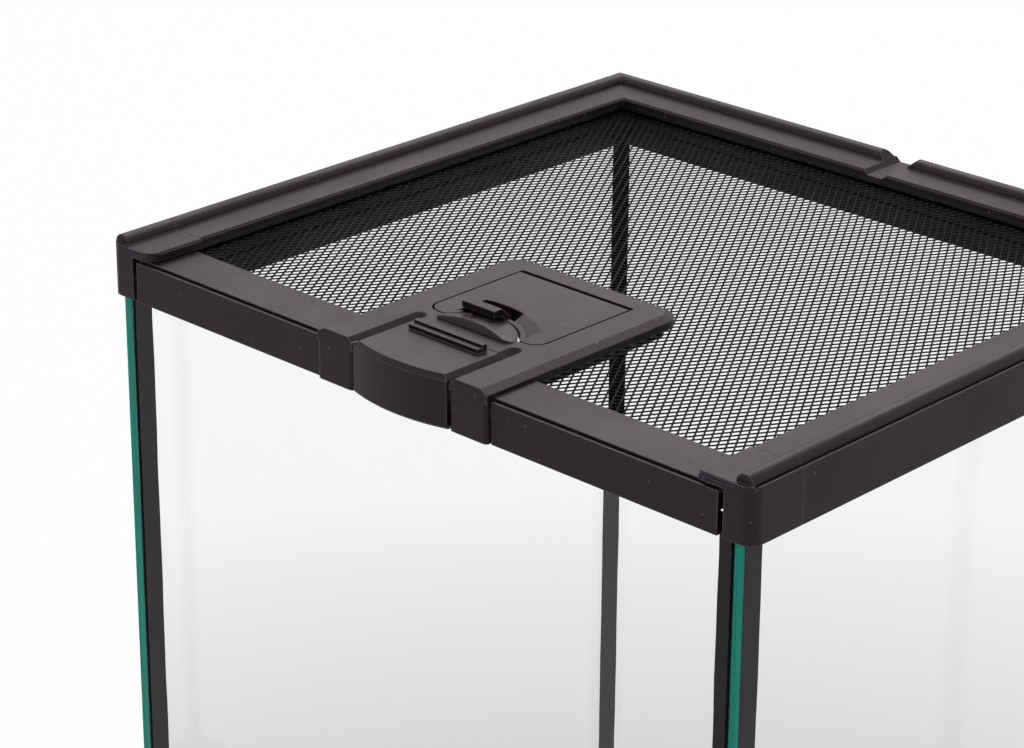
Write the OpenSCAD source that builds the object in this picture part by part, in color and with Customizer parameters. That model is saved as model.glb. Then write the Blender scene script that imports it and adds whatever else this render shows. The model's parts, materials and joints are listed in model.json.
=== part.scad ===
// Small glass terrarium with a slide-out mesh lid, a latch and a feeding hatch.
// Origin at the middle of the footprint on the floor, front towards -Y, +Z up.

/* [Tank] */
// Overall width of the frame
tank_w = 200; // [190:1:320]
// Depth of the frame, front face to rear face
tank_d = 182; // [175:1:320]
// Height from the floor to the top of the rim bead
tank_h = 300; // [120:1:450]
// Thickness of every glass pane
glass_t = 3; // [2.5:0.1:3.4]
// Gap left between a pane and the next piece
glass_gap = 0.3; // [0.1:0.05:0.5]
// Width of the bonded joint between two panes
bond_gap = 0.8; // [0.4:0.1:1.2]
// Leg of the front corner seals along the front pane
seal_leg = 4.4; // [3:0.1:7]
// Leg of the rear corner seals along the rear pane
seal_rear_leg = 3.7; // [3:0.1:7]
// Leg of the corner seal along the side panes
seal_side_leg = 4; // [1:0.1:6]

/* [Top frame] */
// Width of the top frame, seen from above
rail_w = 14; // [13.5:0.1:18]
// Height of the top frame
rail_h = 15.4; // [15:0.1:22]
// Thickness of the frame's outer wall
wall_t = 2.4; // [1.8:0.1:2.6]
// Thickness of the skirt inside the glass
skirt_t = 1.8; // [1.2:0.1:2]
// Radius of the bead along the outer top edge
bead_r = 2.3; // [2.1:0.1:2.6]
// Distance of the bead from the outer face
bead_inset = 0.9; // [0.7:0.1:1.2]
// Width of the groove outside the bead
groove_w = 0.5; // [0.3:0.1:0.6]
// Depth of the groove outside the bead
groove_depth = 0.9; // [0.4:0.1:1.5]
// Distance of the bead's front ends behind the frame's front face
bead_setback = 1; // [0.5:0.1:2]
// Drop from the top of the bead to the shelf
shelf_drop = 2.2; // [1.8:0.1:2.4]
// Thickness of the shelf
shelf_t = 2.2; // [1.8:0.1:2.6]
// Thickness of the ledge that the lid slides on
ledge_t = 1.4; // [1:0.1:2]
// Length of the front corner pieces
front_leg = 16; // [14:0.5:24]
// Length of each leg of the rear corner pieces
rear_leg = 29; // [20:0.5:40]
// Width of the front corner pieces' front face
corner_face = 7.8; // [7.5:0.1:8]
// Extra shelf width on the front corner pieces
corner_lip = 0.6; // [0:0.1:1]
// Radius of the front corners' outer edge
corner_r = 3; // [1.5:0.1:3.4]
// Radius of the left front corner's shelf
shelf_corner_r = 4; // [2:0.1:5]
// Width of the seam between frame pieces
seam = 0.2; // [0.1:0.05:0.3]

/* [Cable notch] */
// Width of the notch's floor in the rear rail
notch_floor_w = 4.6; // [4.4:0.1:12]
// Depth of the notch below the top of the bead
notch_depth = 3.4; // [2.5:0.1:3.8]
// Sideways run of each sloping end of the notch
notch_slope = 3.6; // [2:0.1:8]

/* [Base frame] */
// Height of the base frame
base_h = 18; // [12:0.5:30]
// Height of the base flange above the floor
flange_z = 3; // [2:0.1:6]
// Thickness of the base flange
flange_t = 2; // [1.5:0.1:3]
// Length of each leg of the base corner pieces
base_leg = 26; // [20:0.5:40]

/* [Lid frame] */
// Drop from the top of the bead to the top of the front bar
bar_drop = 4.8; // [4.7:0.1:5.2]
// Thickness of the front bar's top plate
bar_top_t = 2.8; // [2.4:0.1:3.2]
// Thickness of the front bar's front wall
bar_wall_t = 1.2; // [1:0.1:1.5]
// Gap between the front bar's ends and the corner pieces
bar_end_gap = 1.5; // [0.8:0.1:2]
// Width of the lid's side and rear bars
slide_bar_w = 4.5; // [3.5:0.1:5]
// Height of the lid's side and rear bars
slide_bar_h = 5.2; // [4.6:0.1:5.6]
// Running gap above, below and behind the sliding bars
slide_gap = 0.3; // [0.2:0.05:0.5]

/* [Mesh] */
// Thickness of the mesh
mesh_t = 0.8; // [0.5:0.1:1]
// Drop from the top of the bead to the top of the mesh
mesh_drop = 5.8; // [5.7:0.05:6]
// Width of one mesh diamond
mesh_pitch_x = 8.6; // [6:0.1:20]
// Length of one mesh diamond, front to back
mesh_pitch_y = 14; // [9:0.1:30]
// Width of a mesh strand
strand_w = 0.9; // [0.6:0.05:1.5]
// How far the mesh goes into the grooves of its frame
mesh_grip = 2; // [1:0.1:2.4]

/* [Latch] */
// Width of the latch housing
housing_w = 53.2; // [52.6:0.2:60]
// Length of the latch housing, front to back
housing_len = 64.7; // [64:0.1:80]
// Thickness of the latch housing
housing_t = 3; // [2.8:0.1:3.1]
// How far the housing stands in front of the frame
housing_proud = 1; // [0.6:0.1:2]
// Radius of the housing's rear corners
housing_r = 6; // [3:0.5:8]
// Height of the bevel along the housing's top edge
housing_bevel = 1.1; // [0.3:0.1:1.4]
// Width of the bevel along the housing's top edge
housing_bevel_w = 2.1; // [0.5:0.1:2.6]
// Width of the flexing tongue
tongue_w = 29.2; // [26:0.2:29.4]
// Thickness of the flexing tongue
tongue_t = 1.8; // [1.4:0.1:1.9]
// Width of the slots beside the tongue
slot_w = 0.6; // [0.4:0.1:0.8]
// Bevel of the housing's edges along the slots
slot_bevel = 1.6; // [0.4:0.1:2]
// Bevel of the tongue's side edges
tongue_bevel = 1.2; // [0.4:0.1:1.3]
// Length of the slots beside the tongue
slot_len = 21; // [19.5:0.1:21.6]
// Distance of the tongue's root from the housing's front
root_y = 17; // [16.6:0.1:17.6]
// How far the tongue's front bulges forward
tongue_bulge = 2.4; // [1:0.1:4]
// Length of the grip bar on the tongue
grip_len = 21.5; // [15:0.5:25]
// Width of each ridge of the grip bar
grip_ridge_w = 1.3; // [1:0.1:1.5]
// Height of the grip bar
grip_h = 1.7; // [0.5:0.1:2]

/* [Feeding hatch] */
// Width of the feeding hatch
hatch_w = 34; // [30:0.2:35]
// Length of the feeding hatch, front to back
hatch_len = 31.3; // [31:0.1:34]
// Thickness of the feeding hatch
hatch_t = 2; // [1.8:0.1:2.1]
// Distance of the hatch's hinge edge from the housing's rear edge
hatch_margin = 7.7; // [7:0.1:8.6]
// Gap around the hatch
hatch_gap = 0.6; // [0.3:0.05:0.7]
// Width of the rim that the hatch rests on
hatch_rest = 2.2; // [1.5:0.1:3]
// Radius of the hinge pins
pin_r = 0.6; // [0.5:0.05:0.7]
// Length of each hinge pin outside the hatch
pin_len = 1.6; // [1:0.1:2]
// Radial clearance of the hinge pins
pin_clear = 0.05; // [0.02:0.01:0.09]
// Width of the dome, end to end
dome_w = 24; // [20:0.2:24.4]
// How far the dome reaches back from its ends
dome_rear = 7.5; // [6:0.1:8]
// How far the dome reaches forward from its ends
dome_front = 2.4; // [1.6:0.1:3]
// Height of the dome's front edge
dome_h = 2.3; // [1:0.1:2.4]
// Radius of the dome's front corners
dome_corner_r = 3.2; // [1:0.1:4]
// Distance of the recess's right end from the middle
recess_right = 12; // [8:0.1:13]
// Distance of the finger pit's left end from the middle
pit_left = 10.7; // [10.4:0.1:12]
// Distance of the finger pit's right end from the middle
pit_right = 1.6; // [1.6:0.1:4]
// Depth of the ramp beside the finger pit
ramp_depth = 1.4; // [0.6:0.1:1.4]
// Depth of the finger pit
pit_depth = 3.4; // [2.8:0.1:3.6]
// Width of the snap tab
tab_w = 10.2; // [8:0.2:10.4]
// Distance of the snap tab's middle to the left of the hatch's middle
tab_left = 4.1; // [4:0.1:4.6]
// Thickness of the snap tab's wall
tab_t = 1.3; // [1:0.1:1.4]
// Height of the snap tab above the hatch
tab_h = 2.9; // [2.6:0.1:3.6]
// How far the snap tab's nose reaches forward from its wall
tab_nose = 3.7; // [3:0.1:3.9]
// Width of the snap tab's top
tab_top_w = 2.5; // [1.5:0.1:2.6]
// Height of the front face of the snap tab's nose
tab_nose_h = 1.6; // [1:0.1:1.7]

/* [Clamp and screws] */
// Thickness of the clamp frame under the mesh
clamp_t = 1.8; // [1.4:0.1:2.4]
// Radius of the screw shanks
screw_r = 0.9; // [0.8:0.05:1]
// Radius of the screw heads
head_r = 1.9; // [1.6:0.1:2.1]
// Height of the screw heads
head_h = 1.2; // [0.8:0.1:1.5]

/* [Hidden] */
$fn = 64;
eps = 0.02;
small_fn = 32;

frame_color = "#2d2b2f";
glass_color = [0.75, 0.92, 0.88, 0.35];
seal_color = "#1b1a1c";
mesh_color = "#242326";
steel_color = "#9a9a9c";

// The tongue's bulge is the frontmost point, so the tank sits back by half of it
front_reach = housing_proud + tongue_bulge;
y_shift = front_reach / 2;

front = -tank_d / 2;
rear = tank_d / 2;
side = tank_w / 2;

// Glass: distances from the frame's outer face
pocket = wall_t + glass_gap;
skirt_in = pocket + glass_t + glass_gap;
channel_in = skirt_in + skirt_t;
front_pocket = bar_wall_t + slide_gap;
front_wall_t = front_pocket - seam;
pane_x = side - pocket;
front_pane_y = front + front_pocket;
rear_pane_y = rear - pocket;
pane_top = tank_h - shelf_drop - shelf_t - glass_gap;
pane_bottom = flange_z + flange_t;

// Rim levels, measured down from the top of the bead
shelf_under = shelf_drop + shelf_t;
slide_top = shelf_under + slide_gap;
slide_bottom = slide_top + slide_bar_h;
ledge_top = slide_bottom + slide_gap;
front_pane_top = ledge_top + 2;
trim_t = 0.25;
edge_chamfer = 0.55;
ledge_in = rail_w - 0.6;

// Lid
lid_half_w = side - corner_face - bar_end_gap;
slide_half_w = side - channel_in - slide_gap;
bar_rear = front + rail_w;
lid_rear = rear - channel_in - slide_gap;
side_bar_in = slide_half_w - slide_bar_w;
rear_bar_in = lid_rear - slide_bar_w;
groove_play = 0.1;
mesh_half_w = side_bar_in + mesh_grip;
mesh_front = bar_rear - mesh_grip;
mesh_rear = rear_bar_in + mesh_grip;
bar_step = 0.6;
panel_gap = 0.1;

// Latch housing
h_front = front - housing_proud;
h_rear = h_front + housing_len;
h_drop = mesh_drop - housing_t;
block_in = tongue_w / 2 + slot_w;
block_t = bar_wall_t + housing_proud + 0.1;
root = h_front + root_y;
root_r = tongue_t / 2;
root_z = -h_drop - root_r;
grip_setback = 3.7;
grip_groove = 0.5;
hatch_step = 1.7;
recess_reach = 13;
screw_front = 4.6;
screw_rear = 6.4;
dome_round = 3;
window_half = housing_w / 2 + 0.5;
tongue_front_r = (pow(tongue_w / 2, 2) + pow(tongue_bulge - 0.2, 2)) / (2 * (tongue_bulge - 0.2));
barb_w = 8;
barb_y = front_pane_y + glass_t + 2.5;
barb_t = 2.2;
barb_drop = front_pane_top - trim_t - slide_gap - 0.2;

// Feeding hatch
hatch_rear = h_rear - hatch_margin;
hatch_front = hatch_rear - hatch_len;
barrel_r = hatch_t / 2;
pin_y = hatch_rear - barrel_r;
pin_z = -h_drop - barrel_r;
dome_y = hatch_front - hatch_step;
dome_rear_r = (pow(dome_w / 2, 2) + pow(dome_rear, 2)) / (2 * dome_rear);
dome_rear_c = dome_y + dome_rear - dome_rear_r;
rim_t = 1.1;
recess_r = 28;
recess_x = -5;
recess_c = hatch_front + recess_reach - recess_r;
ramp_run = 4;
pan_t = 1.2;
pan_wall = 0.7;
hatch_corner_r = 3.5;
gate_gap = 0.4;
tab_y = dome_rear_c + dome_rear_r + hatch_gap + 0.4;
tab_foot_r = 0.6;
tab_foot_y = tab_y + tab_t / 2;
tab_foot_z = -h_drop - pit_depth;
tab_foot_len = tab_w - 1.2;

// Mesh cut-out and clamp frame
cut_half_w = 21;
cut_front = bar_rear + 2.6;
cut_rear = h_rear - 4.6;
clamp_half_w = 24.4;
clamp_front = bar_rear + 0.6;
clamp_rear = h_rear - 2;
screw_x = hatch_w / 2 + 2.2;
screw_ys = [bar_rear + screw_front, hatch_rear - screw_rear];
screw_depth = 1.9;

// Put a piece in the object's own frame
module seat() {
  translate([0, y_shift, 0]) children();
}

// Put a piece that is measured from the top of the bead
module rim() {
  translate([0, 0, tank_h]) children();
}

// A box from two opposite corners
module block(a, b) {
  translate(a) cube(b - a);
}

// A rectangle with round corners, built from squares and circles
module round_rect(a, b, r) {
  translate([a.x + r, a.y]) square([b.x - a.x - 2 * r, b.y - a.y]);
  translate([a.x, a.y + r]) square([b.x - a.x, b.y - a.y - 2 * r]);
  for (x = [a.x + r, b.x - r], y = [a.y + r, b.y - r]) translate([x, y]) circle(r);
}

// ---- Frame sections: x runs inwards from the outer face, y is up ----

// Section of the top frame, with its shelf, bead, glass pocket and lid ledge
module rail_section(w = rail_w) {
  difference() {
    union() {
      translate([0, -shelf_under]) square([w, shelf_t]);
      intersection() {
        translate([bead_inset + bead_r, -bead_r]) circle(bead_r);
        translate([0, -shelf_drop - shelf_t / 2]) square([2 * bead_inset + 2 * bead_r, shelf_under]);
      }
      translate([0, -rail_h]) square([wall_t, rail_h - shelf_drop]);
    }
    translate([w, -shelf_drop]) rotate(45) square(edge_chamfer * 1.4, center = true);
    translate([bead_inset - groove_w, -shelf_drop - groove_depth]) square([groove_w, groove_depth + 1]);
  }
  translate([skirt_in, -rail_h]) square([skirt_t, rail_h - shelf_under + eps]);
  translate([channel_in - eps, -ledge_top - ledge_t]) square([ledge_in - channel_in, ledge_t]);
  translate([ledge_in - ledge_t, -rail_h]) square([ledge_t, rail_h - ledge_top]);
}

// Section of the base frame, with its flange under the glass and an inner foot
module base_section() {
  square([front_wall_t, base_h]);
  translate([0, flange_z]) square([rail_w, flange_t]);
  translate([rail_w - 2.6, 0]) square([2, flange_z + eps]);
}

// Run a section along Y, starting at the origin
module run_y(len) {
  translate([0, len, 0]) rotate([90, 0, 0]) linear_extrude(len) children();
}

// One leg of a mitred corner: the corner is at the origin
module mitred_leg(len) {
  intersection() {
    run_y(len) children();
    translate([0, 0, -rail_h - 1]) linear_extrude(rail_h + base_h + 2)
      polygon([[-1, -1], [rail_w + 1, rail_w + 1], [rail_w + 1, len + 1], [-1, len + 1]]);
  }
}

// A mitred corner with two equal legs
module mitred_corner(len) {
  mitred_leg(len) children();
  mirror([1, -1, 0]) mitred_leg(len) children();
}

// Move a corner piece to one of the four corners: sx and sy are -1 or 1
module to_corner(sx, sy) {
  translate([sx * side, sy * rear, 0])
    mirror([sx > 0 ? 1 : 0, 0, 0]) mirror([0, sy > 0 ? 1 : 0, 0]) children();
}

// ---- Base frame ----

module base_rail_y(sx) {
  color(frame_color) seat()
    translate([sx * side, 0, 0]) mirror([sx > 0 ? 1 : 0, 0, 0])
      translate([0, front + base_leg + seam, 0]) run_y(tank_d - 2 * (base_leg + seam)) base_section();
}

module base_rail_x(sy) {
  color(frame_color) seat()
    translate([0, sy * rear, 0]) mirror([0, sy > 0 ? 1 : 0, 0])
      translate([-side + base_leg + seam, 0, 0])
        rotate([90, 0, 90]) linear_extrude(tank_w - 2 * (base_leg + seam)) base_section();
}

module base_corner(sx, sy) {
  color(frame_color) seat() to_corner(sx, sy) intersection() {
    mitred_corner(base_leg) base_section();
    translate([0, 0, -1]) linear_extrude(base_h + 2) round_rect([0, 0], [2 * base_leg, 2 * base_leg], corner_r);
  }
}

// ---- Glass ----

module glass_pane(a, b) {
  color(glass_color) seat() block(a, b);
}

module side_pane(sx) {
  color(glass_color) seat() mirror([sx > 0 ? 1 : 0, 0, 0])
    block([-pane_x, front_pane_y, pane_bottom], [-pane_x + glass_t, rear_pane_y, pane_top]);
}

module glass_front() {
  half = pane_x - glass_t - bond_gap;
  glass_pane([-half, front_pane_y, pane_bottom], [half, front_pane_y + glass_t, tank_h - front_pane_top]);
}

module glass_rear() {
  half = pane_x - glass_t - bond_gap;
  glass_pane([-half, rear_pane_y - glass_t, pane_bottom], [half, rear_pane_y, pane_top]);
}

module glass_bottom() {
  half = pane_x - glass_t - bond_gap;
  glass_pane([-half, front_pane_y + glass_t + bond_gap, pane_bottom],
    [half, rear_pane_y - glass_t - bond_gap, pane_bottom + glass_t]);
}

// ---- Black silicone seals ----

seal_foot = pane_bottom + glass_t + 2.4;

// Vertical corner seal: fills the joint and makes a hollow fillet inside
module corner_seal(sx, pane_y, dir, leg, top) {
  inner = pane_x - glass_t;
  inside_y = pane_y + dir * glass_t;
  color(seal_color) seat() mirror([sx > 0 ? 0 : 1, 0, 0])
    translate([0, 0, seal_foot]) linear_extrude(top - seal_foot)
      polygon([[inner, pane_y], [inner - bond_gap, pane_y], [inner - bond_gap, inside_y],
        [inner - leg, inside_y],
        [inner - leg * 0.45, inside_y + dir * seal_side_leg * 0.35],
        [inner - leg * 0.2, inside_y + dir * seal_side_leg * 0.6],
        [inner, inside_y + dir * seal_side_leg]]);
}

module seal_front(sx) {
  corner_seal(sx, front_pane_y, 1, seal_leg, tank_h - front_pane_top);
}

module seal_rear(sx) {
  corner_seal(sx, rear_pane_y, -1, seal_rear_leg, tank_h - rail_h - 1);
}

// Bottom seal: fills the joint round the bottom pane and laps over its edge
module seal_bottom() {
  half = pane_x - glass_t;
  y0 = front_pane_y + glass_t;
  y1 = rear_pane_y - glass_t;
  lap = bond_gap + 2.4;
  color(seal_color) seat() {
    translate([0, 0, pane_bottom]) linear_extrude(glass_t + eps) difference() {
      translate([-half, y0]) square([2 * half, y1 - y0]);
      translate([-half + bond_gap, y0 + bond_gap]) square([2 * (half - bond_gap), y1 - y0 - 2 * bond_gap]);
    }
    translate([0, 0, pane_bottom + glass_t]) linear_extrude(seal_foot - pane_bottom - glass_t) difference() {
      translate([-half, y0]) square([2 * half, y1 - y0]);
      translate([-half + lap, y0 + lap]) square([2 * (half - lap), y1 - y0 - 2 * lap]);
    }
  }
}

// ---- Top frame ----

module top_rail_side(sx) {
  len = tank_d - front_leg - rear_leg - 2 * seam;
  color(frame_color) seat() rim()
    translate([sx * side, front + front_leg + seam, 0]) mirror([sx > 0 ? 1 : 0, 0, 0])
      run_y(len) rail_section();
}

// The rear rail, with the cable notch cut across its shelf and bead
module top_rail_rear() {
  len = tank_w - 2 * (rear_leg + seam);
  top_w = notch_floor_w / 2 + notch_slope;
  color(frame_color) seat() rim() difference() {
    translate([-len / 2, rear, 0]) mirror([0, 1, 0]) rotate([90, 0, 90]) linear_extrude(len) rail_section();
    translate([0, rear + 1, 0]) rotate([90, 0, 0]) linear_extrude(rail_w + 2)
      polygon([[-notch_floor_w / 2, -notch_depth], [notch_floor_w / 2, -notch_depth],
        [top_w, 0], [top_w, 1], [-top_w, 1], [-top_w, 0]]);
  }
}

module top_corner_rear(sx) {
  color(frame_color) seat() rim() to_corner(sx, 1) mitred_corner(rear_leg) rail_section();
}

// Front corner piece: an open channel for the lid, closed in front of the side pane
module top_corner_front(sx) {
  round_r = sx < 0 ? shelf_corner_r : eps;
  w = rail_w + corner_lip;
  color(frame_color) seat() rim() to_corner(sx, -1) intersection() {
    difference() {
      union() {
        run_y(front_leg) rail_section(w);
        translate([0, 0, -rail_h]) cube([corner_face, front_wall_t, rail_h - shelf_drop]);
      }
      // clears the front pane and its corner seal
      translate([skirt_in - glass_gap, front_wall_t, -rail_h - 1])
        cube([rail_w, seam + glass_t + seal_side_leg + glass_gap, rail_h + 1 - front_pane_top + glass_gap]);
      // clears the front bar as the lid slides
      translate([channel_in, -1, -rail_h - 1])
        cube([rail_w, 1 + bar_wall_t + seam + glass_t + 2, rail_h + 1 - shelf_under - eps]);
      // the bead stops short of the front
      translate([bead_inset - groove_w, -1, -shelf_drop]) cube([rail_w, 1 + bead_setback, 2 * bead_r]);
      // groove under the shelf's front edge
      translate([bead_inset + 2 * bead_r, -1, -shelf_drop - 2 * groove_w]) cube([rail_w, 1 + groove_w, groove_w]);
    }
    translate([0, 0, -rail_h - 1]) linear_extrude(rail_h + 2) difference() {
      round_rect([0, 0], [3 * rail_w, 3 * front_leg], corner_r);
      difference() {
        translate([w - round_r, -eps]) square(round_r + eps);
        translate([w - round_r, round_r]) circle(round_r);
      }
    }
  }
}

// Edge trim on the front pane's top, with a low catch for the tongue
module front_glass_trim() {
  half = lid_half_w - 4;
  y0 = front_pane_y - trim_t;
  y1 = front_pane_y + glass_t;
  color(frame_color) seat() rim() {
    block([-half, y0 + trim_t, -front_pane_top], [half, y1 + trim_t, -front_pane_top + trim_t]);
    block([-half, y1, -front_pane_top - 4], [half, y1 + trim_t, -front_pane_top + eps]);
  }
}

// ---- Lid ----

// The front bar: a stepped top plate, a front wall, and a rear wall that grips the mesh
module bar_section() {
  difference() {
    union() {
      translate([0, -bar_drop - bar_top_t]) square([rail_w, bar_top_t]);
      translate([0, -rail_h]) square([bar_wall_t, rail_h - bar_drop]);
      translate([rail_w - mesh_grip - 0.2, -slide_bottom]) square([mesh_grip + 0.2, slide_bottom - bar_drop]);
    }
    translate([-eps, -bar_drop - bar_step]) square([bar_step + 0.2, 1]);
    translate([bar_step, -bar_drop - 2 * bar_step]) square([bar_step, 2]);
    translate([rail_w - mesh_grip - 0.1, -mesh_drop - mesh_t - groove_play])
      square([mesh_grip + 1, mesh_t + 2 * groove_play]);
  }
}

module lid_front_bar() {
  cap_t = 1.6;
  color(frame_color) seat() rim() difference() {
    union() {
      translate([-lid_half_w, front, 0]) rotate([90, 0, 90]) linear_extrude(2 * lid_half_w) bar_section();
      for (x = [-lid_half_w, lid_half_w - cap_t])
        block([x, front + bar_wall_t - eps, -slide_bottom], [x + cap_t, bar_rear - mesh_grip - 0.2 + eps, -bar_drop - bar_top_t + eps]);
    }
    // window for the latch blocks and the tongue's front
    block([-window_half, front - 1, -rail_h - 1], [window_half, front + bar_wall_t + 0.3, 0]);
    // window for the tongue's barb
    block([-barb_w / 2 - 0.4, barb_y - 1.8, -rail_h], [barb_w / 2 + 0.4, barb_y + barb_t + 0.5, 0]);
  }
}

// A sliding bar, with a groove for the mesh in its inner face
module slide_bar_section() {
  difference() {
    translate([0, -slide_bottom]) square([slide_bar_w, slide_bar_h]);
    translate([slide_bar_w - mesh_grip - 0.1, -mesh_drop - mesh_t - groove_play])
      square([mesh_grip + 1, mesh_t + 2 * groove_play]);
  }
}

module lid_side_bar(sx) {
  color(frame_color) seat() rim() mirror([sx > 0 ? 1 : 0, 0, 0])
    translate([-slide_half_w, bar_rear, 0]) run_y(lid_rear - bar_rear) slide_bar_section();
}

module lid_rear_bar() {
  color(frame_color) seat() rim()
    translate([-side_bar_in, lid_rear, 0]) mirror([0, 1, 0])
      rotate([90, 0, 90]) linear_extrude(2 * side_bar_in) slide_bar_section();
}

// Flattened diamond mesh: rows of diamonds, every other row shifted by half a diamond
module mesh_holes(w, d) {
  hole_x = mesh_pitch_x / 2 - strand_w * mesh_pitch_x / (2 * mesh_pitch_y) - strand_w / 2;
  hole_y = hole_x * mesh_pitch_y / mesh_pitch_x;
  columns = ceil(w / mesh_pitch_x) + 1;
  rows = ceil(2 * d / mesh_pitch_y) + 1;
  for (j = [-floor(rows / 2) : floor(rows / 2)], i = [-floor(columns / 2) : floor(columns / 2)])
    translate([(i + (abs(j) % 2) / 2) * mesh_pitch_x, j * mesh_pitch_y / 2])
      polygon([[-hole_x, 0], [0, -hole_y], [hole_x, 0], [0, hole_y]]);
}

// The mesh is laid in four panels round the latch: left, right, front and rear
module mesh_panel(x0, x1, y0, y1) {
  hem = mesh_grip + 0.3;
  mid = (mesh_rear + mesh_front) / 2;
  linear_extrude(mesh_t) difference() {
    translate([x0, y0]) square([x1 - x0, y1 - y0]);
    difference() {
      intersection() {
        translate([0, mid]) mesh_holes(2 * mesh_half_w, mesh_rear - mesh_front);
        translate([-mesh_half_w + hem, mesh_front + hem])
          square([2 * (mesh_half_w - hem), mesh_rear - mesh_front - 2 * hem]);
        translate([x0 + strand_w / 2, y0 + strand_w / 2]) square([x1 - x0 - strand_w, y1 - y0 - strand_w]);
      }
      translate([-clamp_half_w, mesh_front]) square([2 * clamp_half_w, clamp_rear - mesh_front]);
    }
  }
}

module lid_mesh() {
  near = cut_half_w + panel_gap;
  color(mesh_color) seat() rim() translate([0, 0, -mesh_drop - mesh_t]) {
    mesh_panel(-mesh_half_w, -near, mesh_front, mesh_rear);
    mesh_panel(near, mesh_half_w, mesh_front, mesh_rear);
    mesh_panel(-cut_half_w, cut_half_w, mesh_front, cut_front);
    mesh_panel(-cut_half_w, cut_half_w, cut_rear, mesh_rear);
  }
}

// ---- Latch and feeding hatch ----

// Outline of the latch housing, seen from above
module housing_outline(inset = 0) {
  half = housing_w / 2 - inset;
  round_rect([-half, h_front + housing_len / 4], [half, h_rear - inset], housing_r - inset);
  translate([-half, h_front + inset / 8]) square([2 * half, housing_len / 2]);
}

// Outline of the feeding hatch: square at its hinge, round in front, hollowed by the dome
module hatch_outline(grow = 0) {
  half = hatch_w / 2 + grow;
  difference() {
    union() {
      round_rect([-half, hatch_front - grow], [half, hatch_rear + grow], hatch_corner_r + grow);
      translate([-half, hatch_rear + grow - hatch_len / 2]) square([2 * half, hatch_len / 2]);
    }
    translate([0, dome_rear_c]) circle(dome_rear_r + hatch_gap - grow);
  }
}

// Boss that the fingertip rests on: a low cap with a steep, rounded front
module dome() {
  ball = (pow(dome_rear_r + 0.3, 2) + pow(dome_h, 2)) / (2 * dome_h);
  intersection() {
    translate([0, dome_rear_c, -h_drop + dome_h - ball]) sphere(ball, $fn = 120);
    translate([0, 0, -h_drop - eps]) linear_extrude(dome_h + 1)
      round_rect([-dome_w / 2, dome_y - dome_front], [dome_w / 2, dome_y + dome_rear + 1], dome_corner_r);
    // its front edge is rounded over
    translate([-dome_w / 2 - 1, dome_y - dome_front, -h_drop]) rotate([90, 0, 90]) linear_extrude(dome_w + 2) {
      translate([dome_round, dome_h - dome_round]) circle(dome_round, $fn = 72);
      translate([dome_round, -1]) square([dome_rear + dome_front + 2, dome_h + 2]);
    }
  }
}

// Area of the finger recess, shrunk or grown by the given amount
module recess_area(grow = 0) {
  intersection() {
    difference() {
      translate([recess_x, recess_c]) circle(recess_r + grow, $fn = 120);
      translate([0, dome_rear_c]) circle(dome_rear_r + hatch_gap + rim_t - grow);
    }
    translate([-pit_left - grow, hatch_front + seam]) square([pit_left + recess_right + 2 * grow, hatch_len]);
  }
}

// Area of the finger pit, the deep left part of the recess
module pit_area(grow = 0) {
  intersection() {
    recess_area(grow);
    translate([-pit_left - grow, hatch_front]) square([pit_left + pit_right + 2 * grow, hatch_len]);
  }
}

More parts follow.
